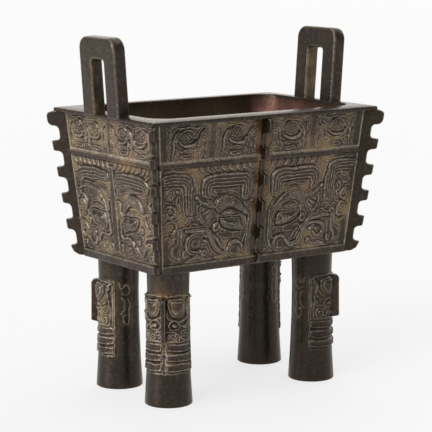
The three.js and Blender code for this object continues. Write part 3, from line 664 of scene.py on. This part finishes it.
for t in np.linspace(0, pi / 2, 4):
    add_ring(LIP, LIP_UNDER * (1 - cos(t)), RIM_TOP - LIP_THICK + LIP_UNDER * (1 - sin(t)), 1.1)
for half, inset, z in (
    (TOP, SKIN, TOP_Z - 0.05), (FOOT, SKIN - 0.3, FOOT_Z + 1.2), (FOOT, 1.6, FOOT_Z), (FOOT, 10, FOOT_Z),
):
    add_ring(half, inset, z, 0.4)

size = len(rings[0])
points = np.vstack([*rings, rings[0].mean(0), rings[-1].mean(0)])
i = np.arange(size)
j, last = (i + 1) % size, (len(rings) - 1) * size
floor_fan = np.stack([np.full(size, len(points) - 2), j, i], -1)
under_fan = np.stack([np.full(size, len(points) - 1), last + i, last + j], -1)
inside = np.append(np.repeat(insides, size), [insides[0], insides[-1]])
# a red tint with a painted pool of light, high on the inside of the far end where the key light falls
copper = inside * smooth((points[:, 0] - 66) / 10) * smooth((points[:, 2] - 110) / 50)
copper *= 0.3 + 0.7 * smooth((points[:, 1] - 5) / 25)
build("basin", points, [tube_faces(len(rings), size), floor_fan, under_fan], inside=inside, copper=copper)


# %% [markdown]
# ## Plates: flanges, handles and the legs' noses
# A plate is a flat outline with rounded corners, given a thickness and a rounded edge. Its rings
# step in from the outline as the edge turns over, r (1 - cos t) in and r (1 - sin t) down.

# %% Plates
def rounded(corners, steps=4):
    """The outline through corners (x, y, r), each turned by an arc of radius r."""
    p, r = np.split(np.array(corners, float), [2], 1)
    r = r[:, 0]
    back, ahead = np.roll(p, 1, 0) - p, np.roll(p, -1, 0) - p
    lb, la = np.hypot(*back.T), np.hypot(*ahead.T)
    back, ahead = back / lb[:, None], ahead / la[:, None]
    half = np.arccos(np.clip((back * ahead).sum(1), -1, 1)) / 2
    reach = np.minimum(r / np.tan(half), 0.48 * np.minimum(lb, la))
    middle = (back + ahead) / np.hypot(*(back + ahead).T)[:, None]
    centre = p + middle * (reach / np.cos(half))[:, None]
    a, b = (p + back * reach[:, None] - centre)[:, None], (p + ahead * reach[:, None] - centre)[:, None]
    t, sweep = np.linspace(0, 1, steps + 1)[None, :, None], (pi - 2 * half)[:, None, None]
    arcs = (a * np.sin((1 - t) * sweep) + b * np.sin(t * sweep)) / np.sin(sweep)
    outline = (centre[:, None] + arcs).reshape(-1, 2)
    return outline[np.hypot(*(outline - np.roll(outline, 1, 0)).T) > 1e-6]


def denser(outline, step):
    """Adds points along the outline's straight runs."""
    ends = np.roll(outline, -1, 0)
    counts = np.maximum(1, np.ceil(np.hypot(*(ends - outline).T) / step).astype(int))
    start = np.repeat(outline, counts, 0)
    gone = np.concatenate([np.arange(n) / n for n in counts])[:, None]
    return start + (np.repeat(ends, counts, 0) - start) * gone


def plate(name, outline, thick, edge, place, step=1.2, polish=0.5, dark=0, dirt=None):
    """place(across, up, side) lays the plate down; dirt(across, up) is for its narrow faces.

    The outline's points are step apart, more than its flat faces step in at a sharp corner.
    """
    outline = denser(outline, step)
    area = (outline[:, 0] * np.roll(outline[:, 1], -1) - np.roll(outline[:, 0], -1) * outline[:, 1]).sum()
    outline = outline if area > 0 else outline[::-1]
    run = np.roll(outline, -1, 0) - outline
    after = np.stack([-run[:, 1], run[:, 0]], -1) / np.hypot(*run.T)[:, None]
    before = np.roll(after, 1, 0)
    inward = (before + after) / (1 + (before * after).sum(1))[:, None]
    # the third value is wear with a painted highlight, brightest half way round the edge
    steps = [(edge + 0.25, 0, 0)]  # (step in, step down, worn)
    for t in np.linspace(pi / 2, 0, 4):
        steps.append((edge * (1 - cos(t)), edge * (1 - sin(t)), sin(t * 2)))
    half = thick / 2
    levels = [(i, d - half, e) for i, d, e in steps] + [(i, half - d, e) for i, d, e in reversed(steps)]
    rings = [np.column_stack([outline + inward * i, np.full(len(outline), s)]) for i, s, _ in levels]
    flat = np.vstack(rings)
    points = place(flat[:, 0], flat[:, 1], flat[:, 2])
    size = len(outline)
    worn = polish * np.repeat([e for _, _, e in levels], size)
    narrow = np.repeat([i < edge * 0.4 for i, _, _ in levels], size)
    ground = narrow * dirt(flat[:, 0], flat[:, 1]) if dirt else 0
    caps = [np.arange(size)[None, ::-1], (len(levels) - 1) * size + np.arange(size)[None]]
    faces = [tube_faces(len(levels), size), *caps]
    build(name, points, faces, rubbed=worn, dark=dark, ground=ground)


# %% [markdown]
# A flange has a tall tooth under the lip, then five shorter ones with rounded notches between.
# The corner flanges' teeth reach less far out towards the foot, where the last ends in a point.

# %% Flanges
TOOTH_PITCH, TOOTH_HIGH, FIRST_TOOTH = 18.6, 8.4, 176.3
TOP_TOOTH_LOW, TOP_TOOTH_HIGH = 186.3, 196.8


def flange_outline(reach, notch, top_reach, root):
    """Corners (out, up, radius) down a toothed edge; reach(z) and notch(z) say how far out it stands."""
    corners = [(root, TOP_TOOTH_HIGH, 0), (top_reach * 0.6, TOP_TOOTH_HIGH, 2)]
    corners += [(top_reach, TOP_TOOTH_HIGH - 1.6, 3), (top_reach, TOP_TOOTH_LOW, 4.4)]
    above = TOP_TOOTH_LOW
    for k in range(5):
        top = FIRST_TOOTH - k * TOOTH_PITCH
        low = top - TOOTH_HIGH
        deep = notch((above + top) / 2)
        corners += [(deep, above - 0.2, 3), (deep, top + 0.2, 2.4), (reach(top), top - 0.7, 1)]
        corners += [(reach(low), low + 0.7, 1.2)] if k < 4 else []
        above = low
    end = reach(98)
    return rounded(corners + [(end * 0.8, 96.6, 1.5), (end * 0.4, FOOT_Z + 0.9, 1), (root, FOOT_Z + 0.1, 0)])


def wall_line(z):
    """How far out the walls' slopes are at a height, along X and along Y."""
    t = (z - FOOT_Z) / (TOP_Z - FOOT_Z)
    return FOOT_X + (TOP_X - FOOT_X) * t, FOOT_Y + (TOP_Y - FOOT_Y) * t


def add_flange(name, out_x, out_y, outline, thick, dark):
    """A flange at a corner, or on the middle of a long wall where out_x is 0."""
    size = hypot(out_x, out_y)
    ox, oy = out_x / size, out_y / size

    def place(across, up, side):
        wide, deep = wall_line(up)
        x = out_x * wide + ox * across + oy * side
        y = out_y * deep + oy * across - ox * side
        return np.stack([x, y, up], -1)
    plate(name, outline, thick, 0.7, place, dark=dark)


corner_outline = flange_outline(
    lambda z: 8.6 + 2.7 * (z - 99) / 73, lambda z: 3.6 + 1.6 * (z - 108) / 73, 12.8, -4
)
middle_outline = flange_outline(lambda z: 5.7, lambda z: 0.9, 8.6, -2)
# painted shade: the right-hand flanges darker, away from the key light, and the middle ones between
for x, dark in ((-1, 0.1), (1, 0.7)):
    for y in (-1, 1):
        add_flange(f"flange_corner_{'lr'[x > 0]}{'fb'[y > 0]}", x, y, corner_outline, 4, dark)
for y in (-1, 1):
    add_flange(f"flange_middle_{'fb'[y > 0]}", 0, y, middle_outline, 3.2, 0.45)


# %% [markdown]
# The handles are plates with a slot that runs down to the lip, and lean outwards by 4 degrees.

# %% Handles
def add_handle(name, side):
    """A plate from below the lip up, turned out by the lean: x rises by up sin(lean)."""
    foot, top, bar = -3.0, HANDLE_HIGH, HANDLE_HIGH - HANDLE_BAR
    right = [(SLOT_HALF, bar, 2.5), (SLOT_HALF, foot, 0), (HANDLE_HALF, foot, 0), (HANDLE_HALF, top, 8.5)]
    corners = right + [(-x, y, r) for x, y, r in reversed(right)]
    lean = radians(HANDLE_LEAN)

    def place(across, up, depth):
        thick = depth - HANDLE_THICK / 2
        x = HANDLE_FACE + thick * cos(lean) + up * sin(lean)
        z = RIM_TOP + up * cos(lean) - thick * sin(lean)
        return np.stack([side * x, side * across, z], -1)

    def slot_dirt(across, up):
        return 1.3 * (np.abs(across) < SLOT_HALF + 0.4) * (up < bar + 0.4)
    outline = rounded(corners, 8)
    plate(name, outline, HANDLE_THICK, HANDLE_EDGE, place, step=2.6, polish=0.4, dirt=slot_dirt)


add_handle("handle_left", -1)
add_handle("handle_right", 1)

# %% [markdown]
# ## Legs
# A leg is a round column with its mask on the side that faces outwards along the diagonal. Angles
# are in degrees from there: three bars, then volutes, eyes and ears, and heavy horns on top.

# %% Legs
DEGREE = 14.6 * pi / 180  # one degree round a leg, in millimetres


def carve_leg(angle, z, plainer):
    """Heights over one leg, how far inside the raised shapes each point is, and where its mask is."""
    r = Relief(angle * DEGREE + 0.22 * soft_noise(z.shape, 5), z + 0.22 * soft_noise(z.shape, 5))
    for side in (-1, 1):
        def at(points):
            return [(side * a * DEGREE, h) for a, h in points]
        for low in (25, 31.9, 38.8):
            across, up = (7, 45, 85, 88, 85, 45, 7, 5), (0.4, 0, 0.5, 2.8, 5.3, 5.8, 5.4, 2.8)
            where, inside = r.pad(at([(a, low + h) for a, h in zip(across, up)]), 0.75)
            end = smooth((90 - np.abs(r.x[where] / DEGREE)) / 4)
            r.fine[where] -= 0.45 * smooth((inside - 0.75) / 0.5) * end
        lens = [(8, 72.6), (12, 66.6), (24, 63.2), (40, 63.4), (54, 67), (60, 72)]
        lens += [(54, 75.6), (34, 76), (14, 75.8)]
        where, inside = r.pad(at(lens), 1.5, 0.9)
        r.fine[where] -= 0.75 * bell(inside - 1.5, 0.5)
        r.pad(at([(30, 71.6), (38, 73.6), (46, 72), (42, 68.4), (33, 68)]), 2, 0.6)
        cheek = at([(86, 76), (76, 75), (68, 70.6), (70, 65), (60, 61.4), (44, 60.4)])
        r.band(cheek, (1.4, 2.4, 2.8, 2.4, 2, 1.2), 1.2)
        r.pad(at([(46, 58.8), (58, 57.6), (68, 60), (74, 64), (78, 60), (72, 55), (58, 54.4)]), 0.9, 0.2)
        cup = at([(10, 57.4), (18, 60.2), (34, 60.4), (45, 57.4), (36, 54.8), (18, 54.6), (10, 57)])
        r.line(cup, 0.5, 0.75)
        r.spiral(side * 58 * DEGREE, 50, 3.9, 1.7, 60, 0.9, 0.5)
        r.spiral(side * 33 * DEGREE, 49.4, 2.8, 1.4, 200, 0.8, 0.45)
        for a, h, rx, ry, high, hollow in (
            (27, 57.4, 2.8, 1.6, 1.5, 0), (13, 50, 1.9, 2.4, 1.1, 0.8), (73, 73, 1.9, 2.3, 1.7, 0.9),
        ):
            r.disc(side * a * DEGREE, h, rx, ry, high, hollow)
        for points in (
            [(8, 77.4), (40, 78.2), (78, 76.6)], [(5.6, 66), (10, 62.6), (26, 61.2), (46, 60.6), (66, 64)],
            [(6, 53.4), (24, 52.8), (38, 50), (40, 46)], [(22, 51), (30, 49.4), (31, 46)],
            [(84.5, 46), (84.5, 76)], [(90, 25), (90, 77)], [(76, 46.4), (78, 56), (72, 66)],
            [(8, 46), (40, 45.8), (74, 46)],
        ):
            r.line(at(points), 0.5, 0.7)
        for low in (24.6, 31.4, 38.3):
            r.line(at([(4, low), (88, low)]), 0.5, -0.55)
        if not plainer:
            for a, h in ((52, 60), (70, 58)):
                r.line(at([(a, h - 2), (a + 4, h + 2)]), 0.4, -0.4)
        for a, h, turn in ((152, 72, 0), (166, 60, 120), (146, 50, 60)):
            r.spiral(side * a * DEGREE, h, 3, 1.2, turn, -0.12)
        for points in (
            [(104, 76), (112, 72.6), (124, 75), (134, 71), (124, 68), (112, 69.4)],
            [(110, 66), (118, 63), (116, 57), (108, 54.4)],
            [(128, 65), (134, 61), (130, 56.4), (132, 51), (124, 46.6), (115, 49), (116, 53.4), (122, 53)],
        ):
            r.line(at(points), 0.5, 0.3)
    r.line([(0, 24), (0, 45.5)], 0.55, -0.7)
    top, near, fine = (a.reshape(z.shape) for a in (r.top, r.near, r.fine))
    masked = smooth((92 - np.abs(angle)) / 2) * smooth((z - 24) / 1.2) * smooth((78.6 - z) / 1.2)
    height = 1.2 * top * masked + 1.2 * fine + (0.25 + 0.02 * soft_noise(z.shape, 9)) * masked
    return height, near, masked


def add_leg(name, x, y, plainer):
    """The leg at a corner: each ring is (r cos t, r sin t), its steps finer where the mask is."""
    def spread(marks, gaps):
        return np.concatenate([np.arange(a, b, g) for a, b, g in zip(marks, marks[1:], gaps)])
    angle = spread((-96.0, 96.0, 264.0), (1.75, 3.2))
    z = np.append(spread((1.2, 22.0, 80.0, 96.5), (1.6, 0.43, 1.5)), 96.5)
    angle, z = np.meshgrid(np.where(angle > 180, angle - 360, angle), z)
    height, near, masked = carve_leg(angle, z, plainer)
    radius = np.interp(z, LEG_Z, LEG_R) + height
    facing = np.arctan2(y, x)
    values = wear(height, 2.2)
    values["ground"] = 0.8 * smooth((0.4 - near) / 0.8) * masked
    values["rust"] = 0.8 * bell(angle, 22) * bell(z - 72, 9)
    columns = z.shape[1]
    foot_r = LEG_R[0] - np.array([2.5, 0.6, 0.1])
    foot = [np.column_stack([np.full(columns, r), np.full(columns, h)]) for r, h in zip(foot_r, (0, 0, 0.5))]
    around = np.vstack([*foot, np.column_stack([radius.ravel(), z.ravel()])])
    turn = np.concatenate([np.tile(angle[0], 3), angle.ravel()])
    bearing, out = facing + np.radians(turn), around[:, 0]
    points = [x * LEG_X + out * np.cos(bearing), y * LEG_Y + out * np.sin(bearing), around[:, 1]]
    values = {k: np.append(np.zeros(3 * columns), a) for k, a in values.items()}
    # painted shade: the right-hand legs darker, away from the light from the left; all legs also darker
    # towards the foot
    values["dark"] = np.clip((0.95 if x > 0 else 0) + 0.6 * smooth((27 - around[:, 1]) / 9), 0, 1)
    rings = len(around) // columns
    caps = [np.arange(columns)[None, ::-1], (rings - 1) * columns + np.arange(columns)[None]]
    build(name, np.column_stack(points), [tube_faces(rings, columns), *caps], **values)


def add_nose(name, x, y):
    """The plate that stands out from a leg's mask, along the corner's diagonal."""
    low, high, out = 46.5, 77.0, 5.8
    corners = [(-2, low - 1.2, 0), (0, low - 1.2, 0), (out, low, 1), (out, high, 4), (-2, high, 0)]
    size = hypot(x, y)

    def place(across, up, side):
        r = np.interp(up, LEG_Z, LEG_R) + across
        x_out, y_out = (x * r + y * side) / size, (y * r - x * side) / size
        return np.stack([x * LEG_X + x_out, y * LEG_Y + y_out, up], -1)
    plate(name, rounded(corners), 3.2, 0.7, place)


for x in (-1, 1):
    for y in (-1, 1):
        tag = "lr"[x > 0] + "fb"[y > 0]
        add_leg(f"leg_{tag}", x, y, y > 0)
        add_nose(f"nose_{tag}", x, y)


# %% [markdown]
# ## Patina
# Dark brown-grey bronze, purple-brown in patches, with tan dirt in the hollows, painted shade near
# black in the deepest lines and rubbed wear with a painted highlight on edges. The right-hand pieces
# are painted darker as shade, the legs darker towards the foot, and high inside the far end a red
# tint carries a painted pool of light. One node group works out colour and roughness from the
# values kept with each point and from noise in object coordinates.

# %% Patina
def add(tree, kind, **settings):
    """A new node, with its inputs or its own settings filled in."""
    node = tree.nodes.new(kind)
    for key, value in settings.items():
        if key in node.inputs:
            node.inputs[key].default_value = value
        else:
            setattr(node, key, value)
    return node


patina = bpy.data.node_groups.new("patina", "ShaderNodeTree")


def feed(sockets, values):
    """Fill sockets with numbers, colours or other nodes' outputs."""
    for socket, value in zip(sockets, values):
        if isinstance(value, bpy.types.NodeSocket):
            patina.links.new(value, socket)
        else:
            socket.default_value = value


def blend(share, low, high):
    """Colour low + share (high - low)."""
    node = add(patina, "ShaderNodeMix", data_type="RGBA")
    feed((node.inputs[0], node.inputs[6], node.inputs[7]), (share, low, high))
    return node.outputs[2]


def maths(operation, a, b, clamp=False):
    node = add(patina, "ShaderNodeMath", operation=operation, use_clamp=clamp)
    feed(node.inputs, (a, b))
    return node.outputs[0]


def times(a, b, clamp=False):
    return maths("MULTIPLY", a, b, clamp)


def plus(a, b):
    return maths("ADD", a, b)


def clouds(scale, low, high, detail=4.0):
    """Noise stretched so that low becomes 0 and high becomes 1."""
    source = add(patina, "ShaderNodeTexNoise", Scale=scale, Detail=detail)
    ramp = add(patina, "ShaderNodeMapRange")
    feed((source.inputs["Vector"], ramp.inputs["From Min"], ramp.inputs["From Max"], ramp.inputs["Value"]),
         (given["Position"], low, high, source.outputs["Fac"]))
    return ramp.outputs["Result"]


METAL = (0.025, 0.0185, 0.0145, 1)
PURPLE = (0.033, 0.020, 0.019, 1)
SLATE = (0.024, 0.022, 0.020, 1)
OLIVE = (0.036, 0.026, 0.010, 1)
DIRT = (0.205, 0.146, 0.060, 1)
RED_DIRT = (0.165, 0.090, 0.050, 1)
# painted shade in the deep lines and on the right-hand pieces, and random smudges and specks
SOOT = (0.007, 0.004, 0.002, 1)
# wear with a painted highlight on crowns and edges, and random flecks
WORN = (0.42, 0.35, 0.275, 1)
RUST = (0.19, 0.086, 0.014, 1)
# red tint with a painted pool of light, inside the far end
COPPER = (0.40, 0.18, 0.145, 1)
LINING = (0.105, 0.074, 0.040, 1)
INSIDE = (0.054, 0.034, 0.021, 1)

KEPT = ("Hollow", "Deep", "Rubbed", "Ground", "Rust", "Inside", "Copper", "Dark")
for label in KEPT:
    patina.interface.new_socket(label, in_out="INPUT", socket_type="NodeSocketFloat")
patina.interface.new_socket("Position", in_out="INPUT", socket_type="NodeSocketVector")
given = add(patina, "NodeGroupInput").outputs
patches, spots = clouds(22, 0.40, 0.62), clouds(75, 0.42, 0.64)
grain, pits = clouds(420, 0.35, 0.68), clouds(1300, 0.3, 0.7, 2.0)
crust = clouds(46, 0.44, 0.64)
dirty = plus(times(given["Ground"], 0.42), times(given["Hollow"], 0.4))
dirty = times(dirty, plus(times(crust, 1.7), 0.1), True)
rusty = times(given["Rust"], plus(times(grain, 0.5), 0.5), True)
# wear on crowns and edges, with a painted highlight
shine = times(given["Rubbed"], plus(times(grain, 0.5), 0.3), True)
reddish = times(given["Copper"], plus(times(spots, 0.6), 0.4), True)
soil = blend(clouds(16, 0.44, 0.58), DIRT, RED_DIRT)
colour = METAL
for share, over in (
    (patches, PURPLE), (clouds(38, 0.5, 0.66), SLATE), (times(spots, 0.42), OLIVE),
    (times(clouds(64, 0.48, 0.66), 0.4), SOOT),  # smudges
    (times(clouds(380, 0.50, 0.72), 0.085), WORN),  # flecks
    # painted shade near black in the deepest lines; the rubbed mix is wear with a painted highlight
    (dirty, soil), (rusty, RUST), (given["Deep"], SOOT), (shine, WORN),
    # the red tint inside the far end carries a painted pool of light
    (given["Inside"], blend(patches, INSIDE, LINING)), (reddish, COPPER),
    # painted shade on the right-hand pieces, and the legs darker towards the foot
    (times(given["Dark"], 0.6), SOOT), (times(clouds(330, 0.50, 0.70), 0.35), SOOT),  # specks
):
    colour = blend(share, colour, over)
rough = plus(plus(times(dirty, 0.3), times(grain, 0.12)), plus(times(given["Inside"], 0.2), 0.25))
rough = maths("SUBTRACT", rough, times(shine, 0.12))
metallic = maths("SUBTRACT", 0.45, times(maths("MAXIMUM", dirty, rusty), 0.7), True)
lumps = plus(times(grain, 0.6), times(pits, 0.4))
results = {"Colour": colour, "Roughness": rough, "Metallic": metallic, "Height": lumps}
for label in results:
    kind = "NodeSocketColor" if label == "Colour" else "NodeSocketFloat"
    patina.interface.new_socket(label, in_out="OUTPUT", socket_type=kind)
leaving = add(patina, "NodeGroupOutput")
for label, socket in results.items():
    patina.links.new(socket, leaving.inputs[label])

bronze = bpy.data.materials.new("bronze")
bronze.use_nodes = True
tree = bronze.node_tree
shader = tree.nodes["Principled BSDF"]
group = add(tree, "ShaderNodeGroup", node_tree=patina)
for label in KEPT:
    value = add(tree, "ShaderNodeAttribute", attribute_name=label.lower())
    tree.links.new(value.outputs["Fac"], group.inputs[label])
coordinates = add(tree, "ShaderNodeTexCoord")
bump = add(tree, "ShaderNodeBump", Strength=0.35, Distance=0.0002)
for outgoing, incoming in (
    (coordinates.outputs["Object"], group.inputs["Position"]),
    (group.outputs["Height"], bump.inputs["Height"]),
    (group.outputs["Colour"], shader.inputs["Base Color"]),
    (group.outputs["Roughness"], shader.inputs["Roughness"]),
    (group.outputs["Metallic"], shader.inputs["Metallic"]),
    (bump.outputs["Normal"], shader.inputs["Normal"]),
):
    tree.links.new(outgoing, incoming)
shader.inputs["Specular IOR Level"].default_value = 0.5
shader.inputs["Specular Tint"].default_value = (1, 0.88, 0.76, 1)

for thing in made.values():
    thing.data.materials.append(bronze)
    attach(thing, "root")
    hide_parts("ding")
print(len(made), "pieces in bronze")

# %% [markdown]
# ## Studio
# A wide pale floor that glows a little, a pale even surround, and five suns: from above, a key
# from high on the left, a weaker one from the right, a low one from the left and one from behind.
# The camera looks a little down at the corner between two walls.

# %% Studio
reach = 40
floor = bpy.data.objects.new("floor", bpy.data.meshes.new("floor"))
corners = [(-reach, -reach, 0), (reach, -reach, 0), (reach, reach, 0), (-reach, reach, 0)]
floor.data.from_pydata(corners, [], [(0, 1, 2, 3)])
bpy.context.scene.collection.objects.link(floor)
paper = bpy.data.materials.new("paper")
paper.use_nodes = True
for label, value in {
    "Base Color": (0.16, 0.16, 0.16, 1), "Emission Color": (1, 1, 1, 1), "Emission Strength": 0.73,
    "Roughness": 0.9, "Specular IOR Level": 0.1,
}.items():
    paper.node_tree.nodes["Principled BSDF"].inputs[label].default_value = value
floor.data.materials.append(paper)

SURROUND_LIGHT, SURROUND_SEEN = 0.34, 0.97  # what it gives, and what the camera sees
world = bpy.data.worlds.new("surround")
bpy.context.scene.world = world
world.use_nodes = True
background = world.node_tree.nodes["Background"]
background.inputs["Color"].default_value = (1, 1, 1, 1)
seen = add(world.node_tree, "ShaderNodeLightPath")
level = add(world.node_tree, "ShaderNodeMapRange")
level.inputs["To Min"].default_value, level.inputs["To Max"].default_value = SURROUND_LIGHT, SURROUND_SEEN
world.node_tree.links.new(seen.outputs["Is Camera Ray"], level.inputs["Value"])
world.node_tree.links.new(level.outputs["Result"], background.inputs["Strength"])


def add_sun(name, direction, strength, angle):
    light = bpy.data.lights.new(name, "SUN")
    light.energy, light.angle = strength, radians(angle)
    lamp = bpy.data.objects.new(name, light)
    lamp.rotation_euler = Vector(direction).to_track_quat("Z", "Y").to_euler()
    bpy.context.scene.collection.objects.link(lamp)


add_sun("top", (0.1, 0.1, 1.0), 1.3, 70)
add_sun("key", (-1.0, -0.35, 0.85), 1.5, 30)
add_sun("side", (1.0, 0.1, 0.45), 0.4, 30)
add_sun("low", (-1.0, 0.1, 0.15), 1.3, 24)
add_sun("rear", (0.58, 0.81, 0.28), 0.9, 60)

camera = bpy.data.objects.new("camera", bpy.data.cameras.new("camera"))
camera.data.lens, camera.data.sensor_width = 153.07, 36
azimuth, elevation, away, aim = radians(-35.48), radians(9.32), 1.3144, Vector((0, 0, 0.1206))
back = Vector((sin(azimuth) * cos(elevation), -cos(azimuth) * cos(elevation), sin(elevation)))
camera.location = aim + back * away
camera.rotation_euler = back.to_track_quat("Z", "Y").to_euler()
camera.data.clip_end = 100
bpy.context.scene.collection.objects.link(camera)
bpy.context.scene.camera = camera
bpy.context.scene.view_settings.view_transform = "Standard"
